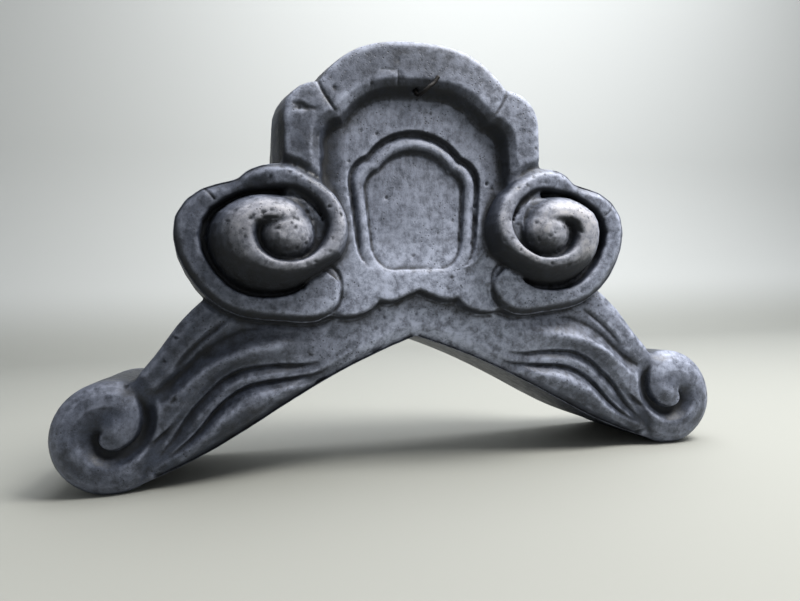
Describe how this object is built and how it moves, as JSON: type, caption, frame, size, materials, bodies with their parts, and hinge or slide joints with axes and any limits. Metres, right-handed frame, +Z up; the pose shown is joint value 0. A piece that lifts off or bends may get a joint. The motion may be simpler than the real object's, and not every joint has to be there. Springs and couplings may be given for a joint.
{
  "type": "roof end tile",
  "caption": "Smoked clay roof end tile with a lobed dome, a sunk medallion panel, cloud swirls, a scalloped apron and spread legs on curled feet, open behind.",
  "frame": {"origin": "on the ground under the middle of the tile's bounding box", "axes": "+X along the spread of the legs, +Y from the ornate front to the open back, +Z up"},
  "size_m": [0.5, 0.146, 0.314],
  "materials": {
    "smoked_clay": "matte smoked clay, rubbed on the crests",
    "black_iron_wire": "dull black"
  },
  "bodies": {
    "root": {"tile_body": "smoked_clay", "tie_wire": "black_iron_wire"}
  },
  "joints": []
}
